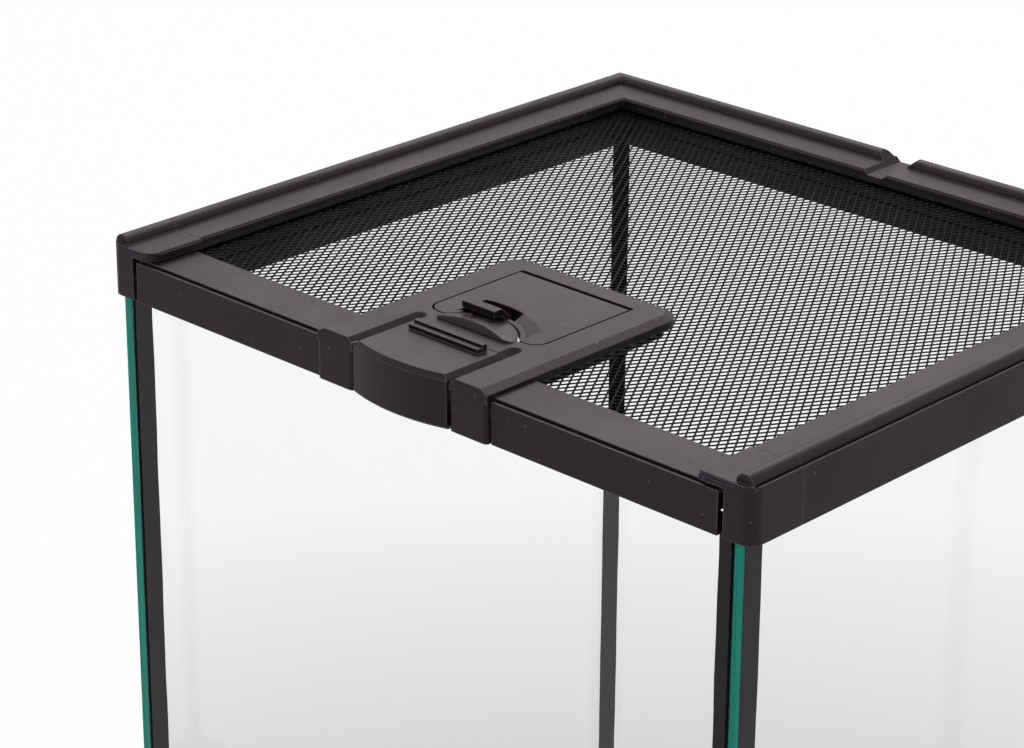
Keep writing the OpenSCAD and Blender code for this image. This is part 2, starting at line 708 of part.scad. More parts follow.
module latch_housing() {
  slot_end = h_front + slot_len;
  color(frame_color) seat() rim() difference() {
    union() {
      difference() {
        hull() {
          translate([0, 0, -mesh_drop]) linear_extrude(housing_t - housing_bevel) housing_outline();
          translate([0, 0, -mesh_drop]) linear_extrude(housing_t) housing_outline(housing_bevel_w);
        }
        // clears the front bar
        block([-housing_w, front + bar_wall_t, -mesh_drop - 1], [housing_w, bar_rear + seam, -bar_drop]);
        // room for the tongue
        block([-block_in, h_front - 1, -mesh_drop - 1], [block_in, root, 0]);
        for (sx = [-1, 1]) translate([sx * (tongue_w + slot_w) / 2, 0, -mesh_drop - 1]) {
          translate([-slot_w / 2, root - 1, 0]) cube([slot_w, slot_end - slot_w / 2 - root + 1, housing_t + 2]);
          translate([0, slot_end - slot_w / 2, 0]) cylinder(h = housing_t + 2, d = slot_w, $fn = small_fn);
        }
        // bevels along the slots and round their ends
        for (sx = [-1, 1]) translate([sx * (tongue_w + slot_w) / 2, 0, -h_drop]) {
          translate([0, slot_end - slot_w / 2, 0]) rotate([90, 0, 0]) linear_extrude(slot_len + 2)
            polygon([[-slot_w / 2, -slot_bevel], [slot_w / 2, -slot_bevel], [slot_w / 2 + slot_bevel, 0],
              [slot_w / 2 + slot_bevel, 1], [-slot_w / 2 - slot_bevel, 1], [-slot_w / 2 - slot_bevel, 0]]);
          translate([0, slot_end - slot_w / 2, -slot_bevel])
            cylinder(h = slot_bevel + eps, r1 = slot_w / 2, r2 = slot_w / 2 + slot_bevel + eps, $fn = small_fn);
        }
        // round seat of the tongue's root
        translate([-block_in, root, root_z]) rotate([0, 90, 0])
          cylinder(h = 2 * block_in, r = root_r + pin_clear, $fn = small_fn);
      }
      // blocks in front of the bar
      for (sx = [-1, 1]) mirror([sx > 0 ? 0 : 1, 0, 0])
        translate([0, 0, -rail_h]) linear_extrude(rail_h - h_drop - housing_bevel) round_rect(
          [block_in, h_front], [housing_w / 2, h_front + block_t], block_t / 2 - 0.1);
      dome();
      // posts that hold the screws
      for (x = [-screw_x, screw_x], y = screw_ys)
        translate([x, y, -mesh_drop - mesh_t]) cylinder(h = mesh_t + eps, r = screw_r + 0.8, $fn = small_fn);
    }
    // seat of the hatch, and the throat under it
    translate([0, 0, -h_drop - hatch_t - 0.05]) linear_extrude(hatch_t + 3) hatch_outline(hatch_gap);
    translate([0, 0, -mesh_drop - 2]) linear_extrude(housing_t) difference() {
      translate([-hatch_w / 2 + hatch_rest, hatch_front - 1])
        square([hatch_w - 2 * hatch_rest, hatch_len - hatch_rest]);
      translate([0, dome_rear_c]) circle(dome_rear_r - 0.1);
    }
    // bores of the hinge pins
    translate([-hatch_w / 2 - pin_len - 0.4, pin_y, pin_z]) rotate([0, 90, 0])
      cylinder(h = hatch_w + 2 * pin_len + 0.8, r = pin_r + pin_clear, $fn = small_fn);
    // screw holes
    for (x = [-screw_x, screw_x], y = screw_ys)
      translate([x, y, -mesh_drop - mesh_t - eps]) cylinder(h = mesh_t + screw_depth + 0.2, r = screw_r + 0.05, $fn = small_fn);
  }
}

// Frame under the mesh: the housing is screwed to it
module latch_clamp() {
  top = -mesh_drop - mesh_t;
  color(frame_color) seat() rim() difference() {
    translate([0, 0, top - clamp_t]) linear_extrude(clamp_t)
      round_rect([-clamp_half_w, clamp_front], [clamp_half_w, clamp_rear], 4);
    block([-hatch_w / 2 + hatch_rest - 0.4, dome_y - 2, top - clamp_t - 1],
      [hatch_w / 2 - hatch_rest + 0.4, hatch_rear - hatch_rest, top + 1]);
    for (x = [-screw_x, screw_x], y = screw_ys)
      translate([x, y, top - clamp_t - 1]) cylinder(h = clamp_t + 2, r = screw_r + 0.1, $fn = small_fn);
  }
}

module clamp_screws() {
  under = -mesh_drop - mesh_t - clamp_t;
  color(steel_color) seat() rim() for (x = [-screw_x, screw_x], y = screw_ys) translate([x, y, under]) {
    cylinder(h = clamp_t + mesh_t + screw_depth, r = screw_r, $fn = small_fn);
    difference() {
      translate([0, 0, -head_h]) cylinder(h = head_h, r = head_r, $fn = small_fn);
      for (turn = [0, 90]) rotate(turn) translate([-head_r * 0.65, -0.25, -head_h - eps])
        cube([head_r * 1.3, 0.5, head_h * 0.6]);
    }
  }
}

// Flexing tongue: thin plate, bulging front, grip bar on top and a barb underneath
module latch_tongue() {
  half = tongue_w / 2;
  inside = h_front + block_t;
  arc_c = h_front - tongue_bulge + tongue_front_r;
  grip_y = root - grip_setback;
  color(frame_color) seat() rim() {
    difference() {
      union() {
        block([-half, inside - eps, -h_drop - tongue_t], [half, root, -h_drop]);
        translate([-half, root, root_z]) rotate([0, 90, 0]) cylinder(h = tongue_w, r = root_r, $fn = small_fn);
        // bulging front wall, chamfered along its top and bottom edges
        intersection() {
          block([-half, h_front - tongue_bulge - 1, -rail_h - 1], [half, inside, 0]);
          translate([0, arc_c, 0]) rotate_extrude($fn = 180) polygon([[0, -rail_h - 0.1],
            [tongue_front_r - edge_chamfer, -rail_h - 0.1], [tongue_front_r, -rail_h - 0.1 + edge_chamfer],
            [tongue_front_r, -h_drop - 2 * edge_chamfer], [tongue_front_r - 2 * edge_chamfer, -h_drop],
            [0, -h_drop]]);
        }
      }
      // bevels along the side edges
      for (sx = [-1, 1]) translate([sx * half, root + root_r + 1, -h_drop]) rotate([90, 0, 0])
        linear_extrude(housing_len) polygon([[-sx * tongue_bevel, 0], [0, -tongue_bevel], [sx, -tongue_bevel],
          [sx, 1], [-sx * tongue_bevel, 1]]);
    }
    // two ridges, the front one lower, joined by a web
    for (k = [0, 1]) translate([-grip_len / 2, grip_y + k * (grip_ridge_w + grip_groove), -h_drop - eps])
      cube([grip_len, grip_ridge_w, grip_h * (k == 1 ? 1 : 0.7)]);
    translate([-grip_len / 2, grip_y, -h_drop - eps])
      cube([grip_len, 2 * grip_ridge_w + grip_groove, grip_h / 2]);
    // barb that stands over the front pane's trim
    block([-barb_w / 2, barb_y, -barb_drop], [barb_w / 2, barb_y + barb_t, -h_drop - tongue_t + eps]);
  }
}

// Feeding hatch: plate, finger recess with its pan, and hinge pins
module feeding_hatch() {
  color(frame_color) seat() rim() {
    difference() {
      union() {
        translate([0, 0, -h_drop - hatch_t]) linear_extrude(hatch_t) hatch_outline();
        // pan under the finger pit
        translate([0, 0, -h_drop - pit_depth - pan_t]) linear_extrude(pit_depth + pan_t - 0.2)
          pit_area(pan_wall);
      }
      translate([0, 0, -h_drop - pit_depth]) linear_extrude(pit_depth + 1) pit_area();
      // ramp beside the pit, level with the hatch's top along its outer edge
      intersection() {
        translate([recess_x, recess_c, -h_drop - ramp_depth])
          cylinder(h = ramp_depth + eps, r1 = recess_r - ramp_run, r2 = recess_r + eps, $fn = 120);
        translate([0, 0, -h_drop - ramp_depth]) linear_extrude(ramp_depth + 1) recess_area(0.01);
      }
      // gate for the snap tab in the hatch's front rim
      block([-tab_left - tab_w / 2 - gate_gap, hatch_front - 3, -h_drop - pit_depth],
        [-tab_left + tab_w / 2 + gate_gap, tab_foot_y + tab_t / 2, 0]);
      // round seat of the tab's foot
      translate([-tab_left - tab_foot_len / 2 - 0.3, tab_foot_y, tab_foot_z]) rotate([0, 90, 0])
        cylinder(h = tab_foot_len + 0.6, r = tab_foot_r + pin_clear, $fn = small_fn);
      // round rear edge, clear of the housing as it turns
      translate([-hatch_w / 2 - 1, pin_y, -h_drop - hatch_t - 1]) cube([hatch_w + 2, 2, hatch_t + 2]);
    }
    translate([-hatch_w / 2, pin_y, pin_z]) rotate([0, 90, 0]) cylinder(h = hatch_w, r = barrel_r, $fn = small_fn);
    translate([-hatch_w / 2 - pin_len, pin_y, pin_z]) rotate([0, 90, 0])
      cylinder(h = hatch_w + 2 * pin_len, r = pin_r, $fn = small_fn);
  }
}

// Snap tab: a wall on a round foot, leaning into a nose that reaches over the dome
module hatch_tab() {
  back = tab_y + tab_t;
  tip = tab_y - tab_nose;
  top = -h_drop + tab_h;
  low = tab_foot_z + 0.9;
  color(frame_color) seat() rim() translate([-tab_left, 0, 0]) {
    translate([-tab_w / 2, 0, 0]) rotate([90, 0, 90]) linear_extrude(tab_w)
      polygon([[tab_y, low], [back, low], [back, -h_drop + 0.6], [tip + tab_top_w, top], [tip, top],
        [tip, top - tab_nose_h], [tab_y - 0.9, top - tab_nose_h], [tab_y, -h_drop + 0.1]]);
    // foot: a round bar and the web that carries the wall
    translate([-tab_foot_len / 2, tab_foot_y, tab_foot_z]) rotate([0, 90, 0])
      cylinder(h = tab_foot_len, r = tab_foot_r, $fn = small_fn);
    block([-tab_foot_len / 2, tab_foot_y - tab_foot_r + 0.1, tab_foot_z],
      [tab_foot_len / 2, tab_foot_y + tab_foot_r - 0.1, low + eps]);
  }
}

base_rail_x(-1);  // base_rail_front
base_rail_x(1);  // base_rail_rear
base_rail_y(-1);  // base_rail_left
base_rail_y(1);  // base_rail_right
base_corner(-1, -1);  // base_corner_front_left
base_corner(1, -1);  // base_corner_front_right
base_corner(-1, 1);  // base_corner_rear_left
base_corner(1, 1);  // base_corner_rear_right
glass_bottom();
glass_front();
glass_rear();
side_pane(-1);  // glass_left
side_pane(1);  // glass_right
seal_front(-1);  // seal_front_left
seal_front(1);  // seal_front_right
seal_rear(-1);  // seal_rear_left
seal_rear(1);  // seal_rear_right
seal_bottom();
top_rail_side(-1);  // top_rail_left
top_rail_side(1);  // top_rail_right
top_rail_rear();
top_corner_front(-1);  // top_corner_front_left
top_corner_front(1);  // top_corner_front_right
top_corner_rear(-1);  // top_corner_rear_left
top_corner_rear(1);  // top_corner_rear_right
front_glass_trim();
lid_front_bar();
lid_side_bar(-1);  // lid_side_bar_left
lid_side_bar(1);  // lid_side_bar_right
lid_rear_bar();
lid_mesh();
latch_housing();
latch_clamp();
clamp_screws();
latch_tongue();
feeding_hatch();
hatch_tab();
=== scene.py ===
import json
import math

import bmesh
import bpy
from bpy.props import FloatProperty, FloatVectorProperty, PointerProperty
from mathutils import Matrix, Quaternion, Vector


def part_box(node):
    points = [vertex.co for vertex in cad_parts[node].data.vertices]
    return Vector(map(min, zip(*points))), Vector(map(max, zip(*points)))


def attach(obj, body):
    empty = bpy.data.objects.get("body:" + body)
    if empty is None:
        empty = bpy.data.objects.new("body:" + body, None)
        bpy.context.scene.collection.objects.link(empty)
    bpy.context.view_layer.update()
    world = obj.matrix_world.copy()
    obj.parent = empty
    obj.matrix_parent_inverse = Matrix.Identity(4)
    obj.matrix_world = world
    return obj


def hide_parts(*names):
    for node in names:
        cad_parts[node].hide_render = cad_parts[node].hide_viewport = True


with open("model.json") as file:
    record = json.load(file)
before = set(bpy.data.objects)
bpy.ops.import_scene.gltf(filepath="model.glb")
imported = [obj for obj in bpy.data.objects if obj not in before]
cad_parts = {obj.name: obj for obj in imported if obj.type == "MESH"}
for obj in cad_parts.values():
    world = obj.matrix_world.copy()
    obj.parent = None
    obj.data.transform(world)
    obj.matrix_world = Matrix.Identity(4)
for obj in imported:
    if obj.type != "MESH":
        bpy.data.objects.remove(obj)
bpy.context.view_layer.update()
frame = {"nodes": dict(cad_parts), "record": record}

bl_info = {
    "name": "Mesh-lid terrarium",
    "version": (1, 0, 0),
    "blender": (4, 5, 0),
    "location": "3D View > Sidebar > Terrarium",
    "description": "Dresses a glass terrarium with its frame, panes, seals, mesh lid and latch",
    "category": "Add Mesh",
}

MM = 0.001
RECORD = frame["record"]

LEATHERY_NODES = ("latch_housing", "feeding_hatch")
GLOSSY_NODES = ("latch_tongue", "hatch_tab")
LATCH_NODES = LEATHERY_NODES + GLOSSY_NODES

EDGE_SAMPLES = 6         # rays that each rounded edge is worked out from
NO_RAISED_PARTS = 10.0   # a height in metres above every piece
DUST_AND_HIGHLIGHT_LIFT = 14.0         # dust and painted edge highlights against the plastic's own colour
RAISED_ROUGHNESS = 0.2   # of the parts that stand above the hatch
PANE_GLOSS = 0.5         # share of plain glass's mirror that a pane keeps

SEAL_ARC_STEPS = 8
SEAL_RINGS = 60
SEAL_HOLLOW = 1.7        # 1 is a flat chamfer, and more is hollower

SHEET_DROP = 0.05 * MM   # from the top of the mesh's box to its strands
PORT_MARGIN = 3.4 * MM   # of the clamp that still has mesh over it
WHOLE_DIAMOND = 0.6      # a diamond with less than this share of its area stays closed

WHITE = (1.0, 1.0, 1.0)
FLOOR_RADIUS = 6.0
FLOOR_DROP = 0.1 * MM
FLOOR_SHADE_NEAR, FLOOR_SHADE_FAR = 0.1, 0.51   # metres from the tank's foot
FLOOR_SHADE = 0.5                               # painted shadow: strength lost near the tank, through a pane
FLOOR_MIRROR_LOSS = 0.25
FLOOR_MIRROR_TINT = (1.0, 0.9, 0.98)
FLOOR_GLOW_SHARE = 0.96                         # the rest takes the tank's shadow
WORLD_MIRROR_TINT = (1.0, 0.89, 0.94)
WORLD_LIGHT = 0.62

LAMP_TARGET = (0, 0, 0.25)
LAMPS = (   # name, place, width, watts
    ("overhead", (-0.7, 0.9, 1.8), 1.6, 22.0),
    ("front_fill", (0.4, -1.9, 1.2), 1.4, 2.5),
)

CAMERA_PLACE = (0.46355, -0.54026, 0.56912)
CAMERA_AZIMUTH, CAMERA_ELEVATION, CAMERA_ROLL = 43.674, 21.79, 0.362   # degrees
CAMERA_SENSOR, CAMERA_LENS = 36.0, 112.31                              # millimetres
CAMERA_SHIFT = -0.0723


# ---- Sizes and colours a user would change ----

class TERRARIUM_PG_mesh(bpy.types.PropertyGroup):
    """Sizes of the flattened diamond mesh"""
    pitch_x: FloatProperty(
        name="Diamond width", description="Width of one diamond, side to side",
        default=2.15 * MM, min=1 * MM, unit="LENGTH", precision=5)
    pitch_y: FloatProperty(
        name="Diamond length", description="Length of one diamond, front to back",
        default=3.5 * MM, min=1 * MM, unit="LENGTH", precision=5)
    strand: FloatProperty(
        name="Strand width", description="Width of a strand between two diamonds",
        default=0.41 * MM, min=0.2 * MM, unit="LENGTH", precision=5)
    thickness: FloatProperty(
        name="Thickness", description="Thickness of the mesh",
        default=0.22 * MM, min=0.1 * MM, unit="LENGTH", precision=5)
    crown: FloatProperty(
        name="Crown", description="How much higher a strand's middle is than its edges",
        default=0.06 * MM, min=0, unit="LENGTH", precision=5)


class TERRARIUM_PG_seals(bpy.types.PropertyGroup):
    """Sizes of the tooled corner seals"""
    front_leg: FloatProperty(
        name="Front leg", description="Reach of a front seal along the front pane",
        default=5.4 * MM, min=2 * MM, unit="LENGTH", precision=5)
    front_side_leg: FloatProperty(
        name="Front side leg", description="Reach of a front seal along the side pane",
        default=4 * MM, min=2 * MM, unit="LENGTH", precision=5)
    rear_leg: FloatProperty(
        name="Rear leg", description="Reach of a rear seal along the rear pane",
        default=3.7 * MM, min=2 * MM, unit="LENGTH", precision=5)
    rear_side_leg: FloatProperty(
        name="Rear side leg", description="Reach of a rear seal along the side pane",
        default=2.8 * MM, min=2 * MM, unit="LENGTH", precision=5)
    bond: FloatProperty(
        name="Bond", description="Width of the joint between two panes",
        default=0.8 * MM, min=0.3 * MM, unit="LENGTH", precision=5)
    waviness: FloatProperty(
        name="Waviness", description="How much a seal swells and narrows along its height",
        default=0.03, min=0, max=0.2)


class TERRARIUM_PG_finish(bpy.types.PropertyGroup):
    """Colours of the terrarium's materials"""
    plastic: FloatVectorProperty(
        name="Frame", description="Colour of the moulded frame",
        subtype="COLOR", size=3, default=(0.0085, 0.0068, 0.0086), min=0, max=1)
    glass: FloatVectorProperty(
        name="Glass", description="Tint of the panes",
        subtype="COLOR", size=3, default=(0.962, 0.968, 0.976), min=0, max=1)
    cut_edge: FloatVectorProperty(
        name="Cut edge", description="Colour of a pane's cut edge",
        subtype="COLOR", size=3, default=(0.004, 0.212, 0.162), min=0, max=1)
    seal: FloatVectorProperty(
        name="Seal", description="Colour of the silicone seals",
        subtype="COLOR", size=3, default=(0.0025, 0.0021, 0.0027), min=0, max=1)
    wire: FloatVectorProperty(
        name="Mesh", description="Colour of the painted mesh",
        subtype="COLOR", size=3, default=(0.004, 0.0034, 0.0044), min=0, max=1)
    floor: FloatVectorProperty(
        name="Floor", description="Colour of the floor under the tank",
        subtype="COLOR", size=3, default=(0.86, 0.86, 0.86), min=0, max=1)


# ---- Shader nodes ----

def is_output(value):
    return hasattr(value, "is_linked")


def feed(tree, value, socket):
    """Links a node's output to a socket, or sets the socket to a plain value."""
    if is_output(value):
        tree.links.new(value, socket)
    else:
        socket.default_value = value


def object_place(tree):
    return tree.nodes.new("ShaderNodeTexCoord").outputs["Object"]


def noise(tree, place, scale, detail, rough):
    node = tree.nodes.new("ShaderNodeTexNoise")
    node.inputs["Detail"].default_value = detail
    node.inputs["Roughness"].default_value = rough
    feed(tree, scale, node.inputs["Scale"])
    feed(tree, place, node.inputs["Vector"])
    return node.outputs["Fac"]


def remap(tree, value, low, high, to_low=0.0, to_high=1.0):
    node = tree.nodes.new("ShaderNodeMapRange")
    for label, number in (("Value", value), ("From Min", low), ("From Max", high),
                          ("To Min", to_low), ("To Max", to_high)):
        feed(tree, number, node.inputs[label])
    return node.outputs["Result"]


def calculate(tree, operation, *values, clamp=False):
    """The result of a Math node."""
    node = tree.nodes.new("ShaderNodeMath")
    node.operation = operation
    node.use_clamp = clamp
    for value, socket in zip(values, node.inputs):
        feed(tree, value, socket)
    return node.outputs["Value"]


def mix_colour(tree, factor, first, second):
    """A blend of two colours, each a node's output or a plain colour."""
    node = tree.nodes.new("ShaderNodeMix")
    node.data_type = "RGBA"
    feed(tree, factor, node.inputs["Factor"])
    for label, colour in (("A", first), ("B", second)):
        feed(tree, colour if is_output(colour) else (*colour, 1.0), node.inputs[label])
    return node.outputs["Result"]


def mix_number(tree, factor, first, second):
    node = tree.nodes.new("ShaderNodeMix")
    for label, number in (("Factor", factor), ("A", first), ("B", second)):
        feed(tree, number, node.inputs[label])
    return node.outputs["Result"]


def mix_shaders(tree, factor, first, second):
    """Makes a blend of two shaders the surface of a material."""
    mix = tree.nodes.new("ShaderNodeMixShader")
    feed(tree, factor, mix.inputs["Fac"])
    feed(tree, first, mix.inputs[1])
    feed(tree, second, mix.inputs[2])
    feed(tree, mix.outputs["Shader"], tree.nodes["Material Output"].inputs["Surface"])


def rounded_normal(tree, radius):
    """The normal of a surface whose edges are rounded off."""
    node = tree.nodes.new("ShaderNodeBevel")
    node.samples = EDGE_SAMPLES
    feed(tree, radius, node.inputs["Radius"])
    return node.outputs["Normal"]


def bump(tree, height, distance, normal=None):
    """The normal after a bump, which is laid over another normal where one is given."""
    node = tree.nodes.new("ShaderNodeBump")
    node.inputs["Distance"].default_value = distance
    node.inputs["Strength"].default_value = 1.0
    feed(tree, height, node.inputs["Height"])
    if normal is not None:
        feed(tree, normal, node.inputs["Normal"])
    return node.outputs["Normal"]


def scaled(colour, factor):
    return tuple(min(1.0, c * factor) for c in colour)


def mirrored_rays(tree):
    """1 for rays mirrored by a surface, 0 for the others and for rays through a pane."""
    path = tree.nodes.new("ShaderNodeLightPath")
    return calculate(tree, "SUBTRACT", path.outputs["Is Glossy Ray"],
                     path.outputs["Is Transmission Ray"], clamp=True)


def seen_directly(tree):
    """1 for rays from the camera, from gloss and through glass, otherwise 0."""
    path = tree.nodes.new("ShaderNodeLightPath")
    total = path.outputs["Is Camera Ray"]
    for label in ("Is Glossy Ray", "Is Transmission Ray"):
        total = calculate(tree, "MAXIMUM", total, path.outputs[label])
    return total


# ---- Shader node groups ----

def new_group(name, inputs, outputs):
    """An empty node group with named float sockets."""
    tree = bpy.data.node_groups.new(name, "ShaderNodeTree")
    for label, value in inputs:
        item = tree.interface.new_socket(
            label, in_out="INPUT", socket_type="NodeSocketFloat")
        item.default_value = value
    for label in outputs:
        tree.interface.new_socket(label, in_out="OUTPUT", socket_type="NodeSocketFloat")
    return tree, tree.nodes.new("NodeGroupInput"), tree.nodes.new("NodeGroupOutput")


def place_group(tree, group, **values):
    """A group node with its inputs set. An underscore in a name stands for a space."""
    node = tree.nodes.new("ShaderNodeGroup")
    node.node_tree = group
    for label, number in values.items():
        node.inputs[label.replace("_", " ")].default_value = number
    return node


def grain_group():
    """Fine grain for the bump, a slow drift for the roughness, and specks of dust."""
    tree = bpy.data.node_groups.get("MouldedGrain")
    if tree:
        return tree
    tree, gin, gout = new_group(
        "MouldedGrain",
        [("Grain Scale", 1400.0), ("Rough Low", 0.40), ("Rough High", 0.56)],
        ["Height", "Roughness", "Dust"])
    place = object_place(tree)
    pits = noise(tree, place, gin.outputs["Grain Scale"], detail=2.0, rough=0.6)
    drift = noise(tree, place, 38.0, detail=4.0, rough=0.55)
    specks = noise(tree, place, 950.0, detail=1.0, rough=0.5)
    roughness = remap(
        tree, drift, 0.3, 0.7, gin.outputs["Rough Low"], gin.outputs["Rough High"])
    feed(tree, pits, gout.inputs["Height"])
    feed(tree, roughness, gout.inputs["Roughness"])
    feed(tree, remap(tree, specks, 0.74, 0.80), gout.inputs["Dust"])
    return tree


def edge_group():
    """Masks for rounded edges, for parts above a height, and for leather grain on those."""
    tree = bpy.data.node_groups.get("MouldedEdges")
    if tree:
        return tree
    tree, gin, gout = new_group(
        "MouldedEdges",
        [("Edge Width", 0.5 * MM), ("Raised From", NO_RAISED_PARTS)],
        ["Edge", "Raised", "Leather"])
    match = tree.nodes.new("ShaderNodeVectorMath")
    match.operation = "DOT_PRODUCT"
    feed(tree, rounded_normal(tree, gin.outputs["Edge Width"]), match.inputs[0])
    feed(tree, tree.nodes.new("ShaderNodeNewGeometry").outputs["Normal"], match.inputs[1])
    edge = remap(tree, match.outputs["Value"], 0.88, 0.998, 1.0, 0.0)
    place = object_place(tree)
    axes = tree.nodes.new("ShaderNodeSeparateXYZ")
    feed(tree, place, axes.inputs["Vector"])
    above = calculate(tree, "SUBTRACT", axes.outputs["Z"], gin.outputs["Raised From"])
    raised = remap(tree, above, 0.0, 0.3 * MM)
    pebbles = noise(tree, place, 2000.0, detail=1.0, rough=0.5)
    feed(tree, edge, gout.inputs["Edge"])
    feed(tree, raised, gout.inputs["Raised"])
    feed(tree, calculate(tree, "MULTIPLY", raised, pebbles), gout.inputs["Leather"])
    return tree


def streak_group():
    """Long soft streaks along the height, as on a cut and ground pane edge."""
    tree = bpy.data.node_groups.get("GroundStreaks")
    if tree:
        return tree
    tree, gin, gout = new_group(
        "GroundStreaks", [("Streak Scale", 900.0)], ["Streak", "Band"])
    place = object_place(tree)
    stretch = tree.nodes.new("ShaderNodeMapping")
    stretch.inputs["Scale"].default_value = (1.0, 1.0, 0.02)
    feed(tree, place, stretch.inputs["Vector"])
    fine = noise(
        tree, stretch.outputs["Vector"], gin.outputs["Streak Scale"], detail=2.0, rough=0.6)
    slow = noise(tree, place, 14.0, detail=2.0, rough=0.5)
    feed(tree, remap(tree, fine, 0.3, 0.7), gout.inputs["Streak"])
    feed(tree, remap(tree, slow, 0.3, 0.7), gout.inputs["Band"])
    return tree


# ---- Materials ----

def new_material(name):
    """A material with one Principled BSDF. Returns it with its tree and shader."""
    material = bpy.data.materials.new(name)
    material.use_nodes = True
    tree = material.node_tree
    return material, tree, tree.nodes["Principled BSDF"]


def moulded_plastic(name, colour, rough_low, rough_high, grain_depth, rounding=0.25 * MM,
                    raised_from=NO_RAISED_PARTS, pebble_depth=0.0):
    """Dark plastic with fine grain, some dust, painted highlights on its rounded edges and
    smooth raised parts.
    """
    material, tree, shader = new_material(name)
    grain = place_group(
        tree, grain_group(), Grain_Scale=1400.0, Rough_Low=rough_low, Rough_High=rough_high)
    marks = place_group(tree, edge_group(), Edge_Width=0.35 * MM, Raised_From=raised_from)
    dust_and_highlight = scaled(colour, DUST_AND_HIGHLIGHT_LIFT)
    dusty = mix_colour(tree, grain.outputs["Dust"], colour, dust_and_highlight)
    # Painted highlight: the rounded edges are lifted to a much lighter colour, as if catching
    # light.
    feed(tree, mix_colour(tree, marks.outputs["Edge"], dusty, dust_and_highlight), shader.inputs["Base Color"])
    roughness = mix_number(
        tree, marks.outputs["Raised"], grain.outputs["Roughness"], RAISED_ROUGHNESS)
    feed(tree, roughness, shader.inputs["Roughness"])
    pits = bump(tree, grain.outputs["Height"], grain_depth, rounded_normal(tree, rounding))
    pebbles = bump(tree, marks.outputs["Leather"], pebble_depth, pits)
    feed(tree, pebbles, shader.inputs["Normal"])
    shader.inputs["IOR"].default_value = 1.45
    shader.inputs["Specular IOR Level"].default_value = 0.3
    shader.inputs["Specular Tint"].default_value = (1.0, 0.91, 0.97, 1.0)
    return material


def pane_glass(colour):
    """Clear float glass that lets shadow rays through."""
    material, tree, shader = new_material("float_glass")
    shader.inputs["Base Color"].default_value = (*colour, 1.0)
    shader.inputs["Roughness"].default_value = 0.0
    shader.inputs["IOR"].default_value = 1.52
    shader.inputs["Specular Tint"].default_value = (PANE_GLOSS, PANE_GLOSS, PANE_GLOSS, 1.0)
    shader.inputs["Transmission Weight"].default_value = 1.0
    clear = tree.nodes.new("ShaderNodeBsdfTransparent")
    clear.inputs["Color"].default_value = (*scaled(colour, 0.97), 1.0)
    path = tree.nodes.new("ShaderNodeLightPath")
    mix_shaders(
        tree, path.outputs["Is Shadow Ray"], shader.outputs["BSDF"], clear.outputs["BSDF"])
    return material


def ground_edge(colour):
    """The green cut edge of a pane, with faint streaks along its height."""
    material, tree, shader = new_material("glass_cut_edge")
    streaks = place_group(tree, streak_group(), Streak_Scale=900.0)
    streak = streaks.outputs["Streak"]
    green = mix_colour(tree, streak, scaled(colour, 0.75), scaled(colour, 1.35))
    roughness = remap(tree, streaks.outputs["Band"], 0.0, 1.0, 0.12, 0.28)
    feed(tree, green, shader.inputs["Base Color"])
    feed(tree, roughness, shader.inputs["Roughness"])
    feed(tree, bump(tree, streak, 0.03 * MM), shader.inputs["Normal"])
    shader.inputs["Specular IOR Level"].default_value = 0.15
    return material


def silicone(colour):
    """Black sealant with a soft, uneven skin."""
    material, tree, shader = new_material("black_silicone")
    grain = place_group(
        tree, grain_group(), Grain_Scale=600.0, Rough_Low=0.30, Rough_High=0.46)
    shader.inputs["Base Color"].default_value = (*colour, 1.0)
    shader.inputs["Specular IOR Level"].default_value = 0.02
    feed(tree, grain.outputs["Roughness"], shader.inputs["Roughness"])
    feed(tree, bump(tree, grain.outputs["Height"], 0.03 * MM), shader.inputs["Normal"])
    return material


def painted_wire(colour):
    """Black paint on the flattened mesh, with a little dust on the strands."""
    material, tree, shader = new_material("painted_mesh")
    grain = place_group(
        tree, grain_group(), Grain_Scale=900.0, Rough_Low=0.30, Rough_High=0.50)
    dusty = mix_colour(tree, grain.outputs["Dust"], colour, scaled(colour, 2.4))
    feed(tree, dusty, shader.inputs["Base Color"])
    feed(tree, grain.outputs["Roughness"], shader.inputs["Roughness"])
    feed(tree, bump(tree, grain.outputs["Height"], 0.03 * MM), shader.inputs["Normal"])
    shader.inputs["IOR"].default_value = 1.25
    shader.inputs["Specular IOR Level"].default_value = 0.08
    return material


def zinc_steel():
    """Plated steel of the small screws."""
    material, tree, shader = new_material("plated_steel")
    grain = place_group(
        tree, grain_group(), Grain_Scale=500.0, Rough_Low=0.26, Rough_High=0.44)
    shader.inputs["Base Color"].default_value = (0.56, 0.56, 0.57, 1.0)
    shader.inputs["Metallic"].default_value = 1.0
    feed(tree, grain.outputs["Roughness"], shader.inputs["Roughness"])
    return material


